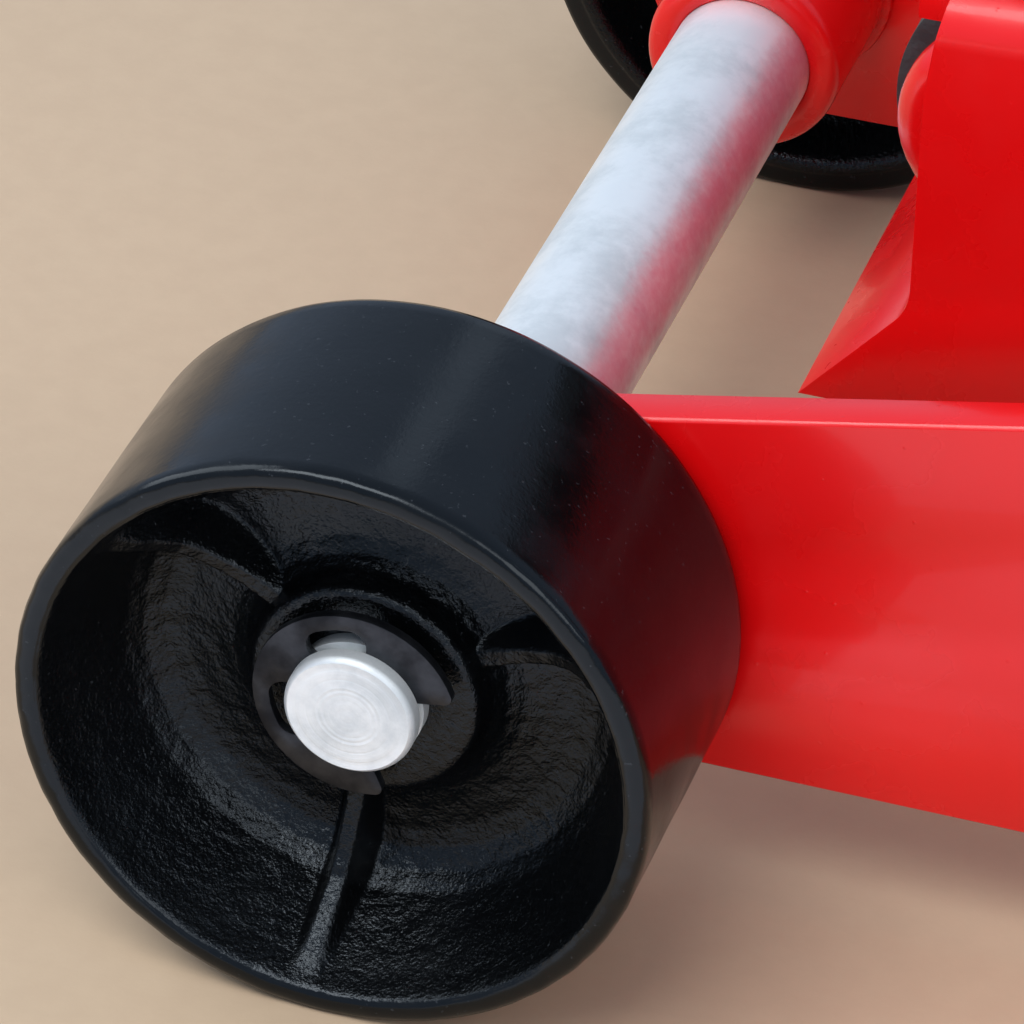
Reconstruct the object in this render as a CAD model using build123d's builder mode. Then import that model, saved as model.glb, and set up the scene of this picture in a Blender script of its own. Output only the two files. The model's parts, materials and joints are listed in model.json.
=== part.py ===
from build123d import *
from math import atan2, cos, sin, radians
import os

os.makedirs("parts", exist_ok=True)

# Hydraulic trolley jack. Millimetres, +Z up, the front wheels at -X, the handle at +X.
# The origin is on the floor at the middle of the jack's length and width.
# Places along the jack are worked out from the front axle, which is at AXLE_X.

# ---- driving dimensions ----
WHEEL_R = 44.0
WHEEL_W = 42.8
REAR_REACH = 584.0                  # front axle to the rear end of the side plates
AXLE_X = -(REAR_REACH + WHEEL_R) / 2 + WHEEL_R
AXLE_Z = WHEEL_R

PLATE_IN = 82.3                     # inner face of each side plate, from the middle
PLATE_OUT = 88.5
PLATE_T = PLATE_OUT - PLATE_IN
PLATE_RISE = radians(11.6)          # slope of the plates' top edge towards the rear
PLATE_TOP = 140.0
NOSE_R = 24.25
NOSE_Z = 44.45

AXLE_R = 11.0
AXLE_END_R = 9.2
AXLE_END_Y = 124.6
CLIP_FACE_Y = 122.1
CLIP_T = 1.5
CLIP_GROOVE_R = 7.5
WHEEL_IN_Y = 90.5
COLLAR_R = 15.5
COLLAR_LEN = 28.3

CHEEK_OUT = 33.3                    # outer face of each cheek of the lift arm
CHEEK_T = 5.0
CHEEK_IN = CHEEK_OUT - CHEEK_T
LIFT_RANGE = radians(52.0)
LIFT_X = AXLE_X + 395.0             # lift shaft
LIFT_Z = 118.0
SHAFT_R = 12.0
LEVER_R = 65.0                      # lift shaft to the roller that the ram pushes
ROLLER_X = LIFT_X + LEVER_R * sin(LIFT_RANGE / 2)
ROLLER_Z = LIFT_Z - LEVER_R * cos(LIFT_RANGE / 2)
ROLLER_R = 13.0
RAM_Z = LIFT_Z - LEVER_R * (1 + cos(LIFT_RANGE / 2)) / 2

CARRIER_X = AXLE_X + 61.0           # pivot of the saddle carrier at the arm's front
CARRIER_Z = 90.0
CARRIER_HALF_W = 16.0
CARRIER_CHEEK_OUT = 22.0            # the carrier's round cheeks fill the arm beside the pivot
LINK_DROP = 29.0                    # levelling link pins, below the carrier and lift pivots
SADDLE_X = AXLE_X + 84.0
SADDLE_R = 42.0
SADDLE_Z = 124.0
SADDLE_T = 14.0

BLOCK_FRONT = AXLE_X + 488.0        # cast pump block
BLOCK_REAR = AXLE_X + 530.0
BLOCK_HALF_W = 38.0
BLOCK_LOW = 30.0
BLOCK_TOP = 114.0
RAM_FACE_X = ROLLER_X + ROLLER_R + 0.8
ROD_R = 11.0
CYL_BORE_R = 16.0
CYL_OUT_R = 20.0
TANK_R = 32.0
BAR_HALF_W = 56.0
SPRING_Y = 50.0
SPRING_R = 6.0
RUN = 0.05                          # radial clearance of a running fit

YOKE_X = AXLE_X + 562.0             # pivot of the handle yoke
YOKE_Z = 118.0
YOKE_LEAN = radians(4.0)            # the handle rests leaning forward against its stop
YOKE_RANGE = radians(70.0)
CAM_R = 20.0                        # yoke pivot to the pump roller
CAM_ROLLER_R = 7.0
CAM_Y = 20.0
PLUNGER_Z = YOKE_Z - CAM_R * (1 + cos(YOKE_RANGE / 2)) / 2
BRACKET_T = 6.0
HANDLE_R = 15.0
HANDLE_BORE_R = 12.5
UNIT_BOLT_X = AXLE_X + 500.0
UNIT_BOLT_Z = (76.0, 102.0)
UNIT_BOLT_R = 5.0
UNIT_BOLT_END = 28.0                # inner end of the bolts, clear of the pump plunger
LINK_PIN_R = 4.0
LINK_IN = 18.0                      # inner face of each levelling link bar
LINK_T = 4.0

CASTER_X = AXLE_X + 536.0           # swivel axis of the rear casters
CASTER_Y = 111.0
CASTER_TRAIL = 20.0
CASTER_R = 28.0
CASTER_HALF_W = 12.0
FORK_TOP = 61.0
SHELF_Z = 64.0


# ---- helpers ----
def side_plane(y):
    """Plane across the jack at y: local x is +X, local y is +Z."""
    return Plane(origin=(0, y, 0), x_dir=(1, 0, 0), z_dir=(0, -1, 0))


def front_plane(x):
    """Plane along the jack at x: local x is +Y, local y is +Z, facing +X."""
    return Plane(origin=(x, 0, 0), x_dir=(0, 1, 0), z_dir=(1, 0, 0))


def pair(x, y, z):
    """The same place on both sides of the jack."""
    return [(x, -y, z), (x, y, z)]


def save(piece, name):
    """Label a finished piece and write it as its own STEP file."""
    piece.part.label = name
    export_step(piece.part, f"parts/{name}.step")


SIDES = {"left": -1, "right": 1}
ACROSS = (90, 0, 0)
ALONG = (0, 90, 0)


# ---- frame: side plates ----
nose_top = (AXLE_X - NOSE_R * sin(PLATE_RISE), NOSE_Z + NOSE_R * cos(PLATE_RISE))
shoulder_x = nose_top[0] + (PLATE_TOP - nose_top[1]) * cos(PLATE_RISE) / sin(PLATE_RISE)
plate_outline = [
    (AXLE_X, NOSE_Z - NOSE_R),
    (AXLE_X + 425, NOSE_Z - NOSE_R),
    (AXLE_X + 482, 63),
    (AXLE_X + REAR_REACH, 63),
    (AXLE_X + REAR_REACH, 108),
    (AXLE_X + 470, PLATE_TOP),
    (shoulder_x, PLATE_TOP),
    nose_top,
]
for side, sign in SIDES.items():
    with BuildPart() as side_plate:
        with BuildSketch(side_plane(sign * PLATE_IN)) as outline:
            with BuildLine():
                Polyline(*plate_outline, close=True)
            make_face()
            fillet(outline.vertices().filter_by_position(Axis.X, AXLE_X + 100, AXLE_X + 600), 12)
            with Locations((AXLE_X, NOSE_Z)):
                Circle(NOSE_R)
            with Locations((AXLE_X, AXLE_Z)):
                Circle(AXLE_END_R, mode=Mode.SUBTRACT)
            with Locations((LIFT_X, LIFT_Z)):
                Circle(SHAFT_R, mode=Mode.SUBTRACT)
            with Locations(*[(UNIT_BOLT_X, z) for z in UNIT_BOLT_Z]):
                Circle(UNIT_BOLT_R, mode=Mode.SUBTRACT)
        extrude(amount=PLATE_T, dir=(0, sign, 0))
        outer = side_plate.faces().filter_by(Axis.Y).sort_by(Axis.Y)[-1 if sign > 0 else 0]
        chamfer(outer.outer_wire().edges(), 0.5)
    save(side_plate, f"side_plate_{side}")

# ---- frame: front axle, its collars, washers and spring clips ----
with BuildPart() as front_axle:
    with Locations((AXLE_X, 0, AXLE_Z)):
        Cylinder(AXLE_R, 2 * PLATE_IN, rotation=ACROSS)
        Cylinder(AXLE_END_R, 2 * AXLE_END_Y, rotation=ACROSS)
    chamfer(front_axle.edges().group_by(Axis.Y)[0] + front_axle.edges().group_by(Axis.Y)[-1], 0.8)
    with Locations(*pair(AXLE_X, CLIP_FACE_Y - CLIP_T / 2, AXLE_Z)):
        Cylinder(AXLE_END_R + 1, CLIP_T, rotation=ACROSS, mode=Mode.SUBTRACT)
        Cylinder(CLIP_GROOVE_R, CLIP_T, rotation=ACROSS)
save(front_axle, "front_axle")

with BuildPart() as axle_collars:
    with Locations(*pair(AXLE_X, PLATE_IN - COLLAR_LEN / 2, AXLE_Z)):
        Cylinder(COLLAR_R, COLLAR_LEN, rotation=ACROSS)
        Cylinder(AXLE_R, COLLAR_LEN, rotation=ACROSS, mode=Mode.SUBTRACT)
    rims = axle_collars.edges().filter_by(GeomType.CIRCLE)
    fillet([e for e in rims if abs(e.center().Y) < PLATE_IN - 1 and e.radius > AXLE_R + 1], 1.6)
save(axle_collars, "axle_collars")

with BuildPart() as axle_washers:
    with Locations(*pair(AXLE_X, (PLATE_OUT + WHEEL_IN_Y) / 2, AXLE_Z)):
        Cylinder(17, WHEEL_IN_Y - PLATE_OUT - 0.2, rotation=ACROSS)
        Cylinder(AXLE_END_R, WHEEL_W, rotation=ACROSS, mode=Mode.SUBTRACT)
save(axle_washers, "axle_washers")

CLIP_R = 14.3
CLIP_MOUTH = -29.0                  # direction of the clip's open side, degrees from +X
CLIP_SLOT_W = 4.8
slot_arcs = [CenterArc((0, 0), 9.6, CLIP_MOUTH + middle - 11, 22) for middle in (134.5, 225.5)]
with BuildPart() as axle_clips:
    with BuildSketch(side_plane(CLIP_FACE_Y - CLIP_T)) as clip_outline:
        with Locations((AXLE_X, AXLE_Z)):
            Circle(CLIP_R)
            Circle(CLIP_GROOVE_R, mode=Mode.SUBTRACT)
            for arc in slot_arcs:
                SlotArc(arc, CLIP_SLOT_W, mode=Mode.SUBTRACT)
            with PolarLocations(0, 1, CLIP_MOUTH):
                Polygon((3, -4), (17, -14.8), (17, 14.8), (3, 4), align=None, mode=Mode.SUBTRACT)
        rim_corners = clip_outline.vertices().group_by(lambda v: v.distance_to((AXLE_X, AXLE_Z, 0)))[-1]
        fillet(rim_corners, 1.2)
    extrude(amount=CLIP_T, dir=(0, 1, 0))
    mirror(about=Plane.XZ)
save(axle_clips, "axle_clips")

# ---- front wheels: cast, with a ribbed bowl on the outer side ----
WHEEL_PROFILE = [                   # radius, depth from the outer face
    (WHEEL_R, 0), (40.4, 0), (36.0, 13), (33.0, 20), (29.0, 22.5), (20.0, 21.8), (17.0, 20),
    (16.0, 14.8), (AXLE_END_R + RUN, 14.8), (AXLE_END_R + RUN, WHEEL_W),
    (17.5, WHEEL_W), (18.5, 30.5), (33.5, 29.5), (38.5, WHEEL_W), (WHEEL_R, WHEEL_W),
]
RIB_ANGLES = (264.5, 144.5, 24.5)
RIB_T = 3.2
RIB_CROWN = [                       # radius, depth from the outer face
    (15.0, 17.7), (20.0, 17.4), (24.0, 16.5), (28.0, 15.0), (31.0, 13.2), (34.0, 10.2), (39.3, 4.2),
]
for side, sign in SIDES.items():
    face_y = WHEEL_IN_Y + WHEEL_W
    with BuildPart() as front_wheel:
        with BuildSketch(Plane(origin=(AXLE_X, 0, AXLE_Z), z_dir=(0, 0, 1))) as profile:
            with BuildLine():
                Polyline(*[(r, sign * (face_y - t)) for r, t in WHEEL_PROFILE], close=True)
            make_face()
            rim_corners = profile.vertices().filter_by_position(Axis.X, WHEEL_R - 0.1, WHEEL_R + 0.1)
            fillet(rim_corners, 1.2)
        revolve(axis=Axis((AXLE_X, 0, AXLE_Z), (0, 1, 0)))
        for angle in RIB_ANGLES:
            outward = Vector(cos(radians(angle)), 0, sin(radians(angle)))
            inward_y = Vector(0, -sign, 0)
            rib_plane = Plane(
                origin=(AXLE_X, sign * face_y, AXLE_Z), x_dir=outward, z_dir=outward.cross(inward_y)
            )
            with BuildSketch(rib_plane):
                with BuildLine():
                    Polyline(*RIB_CROWN, (35, 21), (15, 23), close=True)
                make_face()
            extrude(amount=RIB_T / 2, both=True)
    save(front_wheel, f"front_wheel_{side}")

# ---- frame: lift shaft with its spacers, end caps and bolts, and the brace under the arm ----
with BuildPart() as lift_shaft:
    with Locations((LIFT_X, 0, LIFT_Z)):
        Cylinder(SHAFT_R, 2 * PLATE_OUT, rotation=ACROSS)
        Cylinder(5, 2 * PLATE_OUT, rotation=ACROSS, mode=Mode.SUBTRACT)
save(lift_shaft, "lift_shaft")

SPACER_IN = CHEEK_OUT + 6.0
with BuildPart() as shaft_spacers:
    with Locations(*pair(LIFT_X, (SPACER_IN + PLATE_IN) / 2, LIFT_Z)):
        Cylinder(16, PLATE_IN - SPACER_IN, rotation=ACROSS)
        Cylinder(SHAFT_R, PLATE_IN - SPACER_IN, rotation=ACROSS, mode=Mode.SUBTRACT)
save(shaft_spacers, "shaft_spacers")

CAP_T = 4.0
with BuildPart() as shaft_caps:
    with Locations(*pair(LIFT_X, PLATE_OUT + CAP_T / 2, LIFT_Z)):
        Cylinder(19, CAP_T, rotation=ACROSS)
        Cylinder(5, CAP_T, rotation=ACROSS, mode=Mode.SUBTRACT)
    rims = shaft_caps.edges().filter_by(GeomType.CIRCLE)
    chamfer([e for e in rims if e.radius > 18 and abs(e.center().Y) > PLATE_OUT + 1], 1.2)
save(shaft_caps, "shaft_caps")

with BuildPart() as shaft_bolts:
    with Locations((LIFT_X, PLATE_OUT + CAP_T - 20, LIFT_Z)):
        Cylinder(5, 40, rotation=ACROSS)
    with BuildSketch(side_plane(PLATE_OUT + CAP_T)):
        with Locations((LIFT_X, LIFT_Z)):
            RegularPolygon(9.8, 6)
    extrude(amount=6.4, dir=(0, 1, 0))
    mirror(about=Plane.XZ)
save(shaft_bolts, "shaft_bolts")

with BuildPart() as frame_crossbars:
    with Locations((AXLE_X + 235, 0, 34), (AXLE_X + 574, 0, 75)):
        Cylinder(7.5, 2 * PLATE_IN, rotation=ACROSS)
save(frame_crossbars, "frame_crossbars")

with BuildPart() as link_anchor:
    with BuildSketch(side_plane(CARRIER_HALF_W)):
        with Locations((LIFT_X, LIFT_Z)):
            Circle(18)
        with Locations((LIFT_X, LIFT_Z - LINK_DROP)):
            Circle(8)
        make_hull()
        with Locations((LIFT_X, LIFT_Z)):
            Circle(SHAFT_R, mode=Mode.SUBTRACT)
        with Locations((LIFT_X, LIFT_Z - LINK_DROP)):
            Circle(LINK_PIN_R + RUN, mode=Mode.SUBTRACT)
    extrude(amount=2 * CARRIER_HALF_W)
save(link_anchor, "link_anchor")

# ---- lift arm: a bent channel with a welded nose plate, bushes and roller ----
ARM_TOP_FRONT = 113.6
ARM_FRONT_X = AXLE_X + 50.0         # front edge of the cheeks: upright, then swept back at its top
ARM_TOP_X = AXLE_X + 52.5
VISOR_X = AXLE_X + 47.4             # the web's two front strips run on past the cheeks
WEB_UNDER = 107.0
ARM_BEND_R = 8.0
NOSE_LOW = (AXLE_X + 34.8, 45.8)    # outer face of the sloping nose plate
NOSE_HIGH = (ARM_FRONT_X, 63.2)
NOSE_PLATE_T = 4.0
NOSE_CORNER_R = 8.0
nose_slope = atan2(NOSE_HIGH[1] - NOSE_LOW[1], NOSE_HIGH[0] - NOSE_LOW[0])
nose_in = (sin(nose_slope), -cos(nose_slope))
nose_low_in = (NOSE_LOW[0] + NOSE_PLATE_T / nose_in[0], NOSE_LOW[1])
nose_high_in = (NOSE_HIGH[0] + NOSE_PLATE_T * nose_in[0], NOSE_HIGH[1] + NOSE_PLATE_T * nose_in[1])
nose_high_out = (NOSE_HIGH[0] - nose_in[0], NOSE_HIGH[1] - nose_in[1])
nose_low_out = (NOSE_LOW[0] - 2, NOSE_LOW[1])
nose_band = [nose_low_in, nose_high_in, nose_high_out, nose_low_out]
ARM_KNEE_X = AXLE_X + 250
ARM_KNEE_Z = 120.6
LOBE_R = 11.0
BUSH_R = 17.0
ROLLER_PIN_R = 6.0
PIVOT_BOSS_R = 24.0
WEB_SLOT_HALF_W = 22.5
WEB_SLOT_END = AXLE_X + 132
arm_outline = [
    (ARM_TOP_X, ARM_TOP_FRONT),
    (ARM_KNEE_X, ARM_KNEE_Z),
    (LIFT_X - 6, LIFT_Z + 23.2),
    (LIFT_X, LIFT_Z),
    (ROLLER_X, ROLLER_Z - LOBE_R),
    nose_low_in,
    NOSE_LOW,
    NOSE_HIGH,
    (ARM_FRONT_X, 93),
]
arm_hollow = [
    (AXLE_X, 30),
    (AXLE_X, WEB_UNDER),
    (ARM_KNEE_X, ARM_KNEE_Z - CHEEK_T),
    (LIFT_X - 26, LIFT_Z + 16),
    (LIFT_X - 26, LIFT_Z + 40),
    (LIFT_X + 60, LIFT_Z + 40),
    (LIFT_X + 60, 30),
]
with BuildSketch(side_plane(0)) as arm_side:
    with BuildLine():
        Polyline(*arm_outline)
        ThreePointArc((ARM_FRONT_X, 93), (ARM_FRONT_X + 0.64, 103.5), (ARM_TOP_X, ARM_TOP_FRONT))
    make_face()
    fillet(arm_side.vertices().sort_by_distance((*NOSE_HIGH, 0))[0], NOSE_CORNER_R)

with BuildPart() as arm_channel:
    extrude(arm_side.sketch, amount=CHEEK_OUT, both=True)
    with BuildSketch(side_plane(0)):
        with Locations((LIFT_X, LIFT_Z)):
            Circle(PIVOT_BOSS_R)
        with Locations((ROLLER_X, ROLLER_Z)):
            Circle(LOBE_R)
        make_hull()
    extrude(amount=CHEEK_OUT, both=True)
    long_edges = arm_channel.edges().filter_by(lambda e: e.length > 100)
    fillet([e for e in long_edges if e.center().Z > 110 and abs(e.center().Y) > 30], ARM_BEND_R)
    with BuildSketch(side_plane(0)):
        with BuildLine():
            Polyline(*arm_hollow, close=True)
        make_face()
    extrude(amount=CHEEK_IN, both=True, mode=Mode.SUBTRACT)
    with BuildSketch(Plane.XY.offset(CARRIER_Z)):
        with Locations((WEB_SLOT_END - 50, 0)):
            SlotOverall(100, 2 * WEB_SLOT_HALF_W)
        with Locations((WEB_SLOT_END - 75, 0)):
            Rectangle(50, 2 * WEB_SLOT_HALF_W)
    extrude(amount=50, mode=Mode.SUBTRACT)
    strip_x = (VISOR_X + ARM_FRONT_X + 6) / 2
    strip_y = (WEB_SLOT_HALF_W + CHEEK_IN) / 2
    with Locations(*pair(strip_x, strip_y, (WEB_UNDER + ARM_TOP_FRONT) / 2)):
        Box(2 * (strip_x - VISOR_X), CHEEK_IN - WEB_SLOT_HALF_W, ARM_TOP_FRONT - WEB_UNDER)
    with BuildSketch(side_plane(0)):
        Polygon(*nose_band, align=None)
    extrude(amount=CHEEK_OUT, both=True, mode=Mode.SUBTRACT)
    with Locations((LIFT_X, 0, LIFT_Z)):
        Cylinder(BUSH_R, 2 * CHEEK_OUT, rotation=ACROSS, mode=Mode.SUBTRACT)
    with Locations((ROLLER_X, 0, ROLLER_Z)):
        Cylinder(ROLLER_PIN_R, 2 * CHEEK_OUT, rotation=ACROSS, mode=Mode.SUBTRACT)
save(arm_channel, "arm_channel")

with BuildPart() as arm_nose_plate:
    extrude(arm_side.sketch, amount=CHEEK_OUT, both=True)
    with BuildSketch(side_plane(0)):
        Polygon(*nose_band, align=None)
    extrude(amount=CHEEK_OUT, both=True, mode=Mode.INTERSECT)
save(arm_nose_plate, "arm_nose_plate")

BOSS_R = 16.5
BOSS_ROUND = 4.0
PIN_R = 8.0
SIDE_GAP = 0.3
bush_in = CHEEK_IN - 5
bush_out = SPACER_IN - SIDE_GAP
boss_in = CARRIER_CHEEK_OUT + SIDE_GAP
with BuildPart() as arm_bushes:
    with Locations(*pair(LIFT_X, (bush_in + bush_out) / 2, LIFT_Z)):
        Cylinder(BUSH_R, bush_out - bush_in, rotation=ACROSS)
        Cylinder(SHAFT_R + RUN, 30, rotation=ACROSS, mode=Mode.SUBTRACT)
    with Locations(*pair(CARRIER_X, (boss_in + CHEEK_IN) / 2, CARRIER_Z)):
        Cylinder(BOSS_R, CHEEK_IN - boss_in, rotation=ACROSS)
    boss_rims = [e for e in arm_bushes.edges().filter_by(GeomType.CIRCLE) if abs(e.radius - BOSS_R) < 0.1]
    fillet([e for e in boss_rims if abs(e.center().Y) > CHEEK_IN - 1], BOSS_ROUND)
    with Locations(*pair(CARRIER_X, (boss_in + CHEEK_IN) / 2, CARRIER_Z)):
        Cylinder(PIN_R, 30, rotation=ACROSS, mode=Mode.SUBTRACT)
save(arm_bushes, "arm_bushes")

with BuildPart() as lift_roller:
    with Locations((ROLLER_X, 0, ROLLER_Z)):
        Cylinder(ROLLER_R, 40, rotation=ACROSS)
        Cylinder(ROLLER_PIN_R + RUN, 40, rotation=ACROSS, mode=Mode.SUBTRACT)
    chamfer(lift_roller.edges().filter_by(lambda e: e.geom_type == GeomType.CIRCLE and e.radius > 10), 1)
save(lift_roller, "lift_roller")

with BuildPart() as roller_pin:
    with Locations((ROLLER_X, 0, ROLLER_Z)):
        Cylinder(ROLLER_PIN_R, 2 * CHEEK_OUT, rotation=ACROSS)
    with Locations(*pair(ROLLER_X, CHEEK_OUT + 1, ROLLER_Z)):
        Cylinder(8.5, 2, rotation=ACROSS)
save(roller_pin, "roller_pin")

with BuildPart() as carrier_pin:
    with Locations((CARRIER_X, 0, CARRIER_Z)):
        Cylinder(PIN_R, 2 * CHEEK_IN, rotation=ACROSS)
save(carrier_pin, "carrier_pin")

# ---- saddle carrier, saddle and levelling link ----
STEM_R = 10.0
SEAT_Z = SADDLE_Z - 6.0             # underside of the round seat that the saddle turns on
with BuildPart() as saddle_carrier:
    with BuildSketch(side_plane(0)):
        with Locations((CARRIER_X, CARRIER_Z)):
            Circle(17)
        with Locations((CARRIER_X, CARRIER_Z - LINK_DROP)):
            Circle(7.5)
        make_hull()
    extrude(amount=CARRIER_HALF_W, both=True)
    with Locations((CARRIER_X + 4.5, 0, CARRIER_Z + 1.8)):
        Cylinder(22, 2 * CARRIER_CHEEK_OUT, rotation=ACROSS)
    with BuildSketch(side_plane(0)):
        with BuildLine():
            Polyline(
                (CARRIER_X - 12, CARRIER_Z), (SADDLE_X - 19, SEAT_Z), (SADDLE_X + 17, SEAT_Z),
                (SADDLE_X + 15, CARRIER_Z + 8), (CARRIER_X + 8, CARRIER_Z - 14), close=True,
            )
        make_face()
    extrude(amount=CARRIER_HALF_W, both=True)
    with Locations((SADDLE_X, 0, SADDLE_Z - 3.5)):
        Cylinder(26, 5)
    with Locations((SADDLE_X, 0, SADDLE_Z - 15)):
        Cylinder(STEM_R + RUN, 30, mode=Mode.SUBTRACT)
    with Locations((CARRIER_X, 0, CARRIER_Z)):
        Cylinder(PIN_R + RUN, 2 * CARRIER_CHEEK_OUT, rotation=ACROSS, mode=Mode.SUBTRACT)
    with Locations((CARRIER_X, 0, CARRIER_Z - LINK_DROP)):
        Cylinder(LINK_PIN_R + RUN, 2 * CARRIER_HALF_W, rotation=ACROSS, mode=Mode.SUBTRACT)
save(saddle_carrier, "saddle_carrier")

LUGS = 8
RECESS_R = 27.0                     # holds a round pad
RECESS_DEPTH = 6.0
with BuildPart() as saddle:
    with Locations((SADDLE_X, 0, SADDLE_Z + SADDLE_T / 2)):
        Cylinder(SADDLE_R, SADDLE_T)
    fillet(saddle.edges().group_by(Axis.Z)[0], 3)
    with Locations((SADDLE_X, 0, SADDLE_Z + SADDLE_T - RECESS_DEPTH / 2)):
        Cylinder(RECESS_R, RECESS_DEPTH, mode=Mode.SUBTRACT)
    with BuildSketch(Plane.XY.offset(SADDLE_Z + SADDLE_T)):
        with Locations((SADDLE_X, 0)):
            with PolarLocations(SADDLE_R - 7, LUGS, 360 / LUGS / 2):
                Rectangle(20, 4)
    extrude(amount=-4, mode=Mode.SUBTRACT)
    with Locations((SADDLE_X, 0, SADDLE_Z - 10)):
        Cylinder(STEM_R, 20)
save(saddle, "saddle")

LINK_ENDS = [(CARRIER_X, CARRIER_Z - LINK_DROP), (LIFT_X, LIFT_Z - LINK_DROP)]
LINK_OUT = LINK_IN + LINK_T
with BuildPart() as link_bars:
    with BuildSketch(side_plane(LINK_OUT)):
        with Locations(*LINK_ENDS):
            Circle(6.2)
        make_hull()
        with Locations(*LINK_ENDS):
            Circle(LINK_PIN_R, mode=Mode.SUBTRACT)
    extrude(amount=LINK_T)
    mirror(about=Plane.XZ)
save(link_bars, "link_bars")

PIN_HEAD_T = 2.5
with BuildPart() as link_pins:
    for x, z in LINK_ENDS:
        with Locations((x, 0, z)):
            Cylinder(LINK_PIN_R, 2 * (LINK_OUT + PIN_HEAD_T), rotation=ACROSS)
        with Locations(*pair(x, LINK_OUT + PIN_HEAD_T / 2, z)):
            Cylinder(6, PIN_HEAD_T, rotation=ACROSS)
save(link_pins, "link_pins")

# ---- ram: pressure pad, rod, piston and the crossbar that the return springs pull ----
PAD_T = 6.0
BAR_X = RAM_FACE_X + PAD_T
BAR_T = 6.0
GLAND_X = BAR_X + BAR_T + 1.7
PISTON_REAR = BLOCK_REAR - 3.5
PISTON_T = 11.0
SEAL_GROOVE = 8.0                   # front of the seal groove, from the piston's rear face
SEAL_W = 3.4
SEAL_DEPTH = 2.0
with BuildPart() as ram_pad:
    with Locations((RAM_FACE_X + PAD_T / 2, 0, RAM_Z)):
        Cylinder(17, PAD_T, rotation=ALONG)
    chamfer(ram_pad.edges().group_by(Axis.X)[0], 0.8)
save(ram_pad, "ram_pad")

with BuildPart() as ram_crossbar:
    with BuildSketch(front_plane(BAR_X)):
        with Locations((0, RAM_Z)):
            SlotOverall(2 * BAR_HALF_W, 17)
            Circle(8, mode=Mode.SUBTRACT)
            with Locations((-SPRING_Y, 0), (SPRING_Y, 0)):
                Circle(2, mode=Mode.SUBTRACT)
    extrude(amount=BAR_T)
save(ram_crossbar, "ram_crossbar")

with BuildPart() as ram_rod:
    with Locations((BAR_X + BAR_T / 2, 0, RAM_Z)):
        Cylinder(8, BAR_T, rotation=ALONG)
    with BuildSketch(front_plane(BAR_X + BAR_T)):
        with Locations((0, RAM_Z)):
            Circle(ROD_R)
    extrude(amount=PISTON_REAR - PISTON_T - BAR_X - BAR_T)
save(ram_rod, "ram_rod")

with BuildPart() as ram_piston:
    with BuildSketch(front_plane(PISTON_REAR - PISTON_T)):
        with Locations((0, RAM_Z)):
            Circle(CYL_BORE_R - RUN)
    extrude(amount=PISTON_T)
    with BuildSketch(front_plane(PISTON_REAR - SEAL_GROOVE)):
        with Locations((0, RAM_Z)):
            Circle(CYL_BORE_R)
            Circle(CYL_BORE_R - SEAL_DEPTH, mode=Mode.SUBTRACT)
    extrude(amount=SEAL_W, mode=Mode.SUBTRACT)
save(ram_piston, "ram_piston")

with BuildPart() as piston_seal:
    with BuildSketch(front_plane(PISTON_REAR - SEAL_GROOVE)):
        with Locations((0, RAM_Z)):
            Circle(CYL_BORE_R - RUN)
            Circle(CYL_BORE_R - SEAL_DEPTH, mode=Mode.SUBTRACT)
    extrude(amount=SEAL_W)
save(piston_seal, "piston_seal")

# ---- hydraulic unit: cylinder, tank, gland, block, plugs ----
GLAND_T = 7.0
CYL_REAR = BLOCK_REAR - 3
TANK_END_T = 4.0
TANK_WALL = 3.0
with BuildPart() as cylinder_tube:
    with BuildSketch(front_plane(GLAND_X + GLAND_T)):
        with Locations((0, RAM_Z)):
            Circle(CYL_OUT_R)
            Circle(CYL_BORE_R, mode=Mode.SUBTRACT)
    extrude(amount=CYL_REAR - GLAND_X - GLAND_T)
save(cylinder_tube, "cylinder_tube")

with BuildPart() as ram_gland:
    with BuildSketch(front_plane(GLAND_X)):
        with Locations((0, RAM_Z)):
            RegularPolygon(25, 6)
            Circle(ROD_R + RUN, mode=Mode.SUBTRACT)
    extrude(amount=GLAND_T)
save(ram_gland, "ram_gland")

with BuildPart() as reservoir_tank:
    with BuildSketch(front_plane(GLAND_X + GLAND_T)):
        with Locations((0, RAM_Z)):
            Circle(TANK_R)
            Circle(CYL_OUT_R, mode=Mode.SUBTRACT)
    extrude(amount=TANK_END_T)
    with BuildSketch(front_plane(GLAND_X + GLAND_T + TANK_END_T)):
        with Locations((0, RAM_Z)):
            Circle(TANK_R)
            Circle(TANK_R - TANK_WALL, mode=Mode.SUBTRACT)
    extrude(amount=BLOCK_FRONT - GLAND_X - GLAND_T - TANK_END_T)
save(reservoir_tank, "reservoir_tank")

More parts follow.
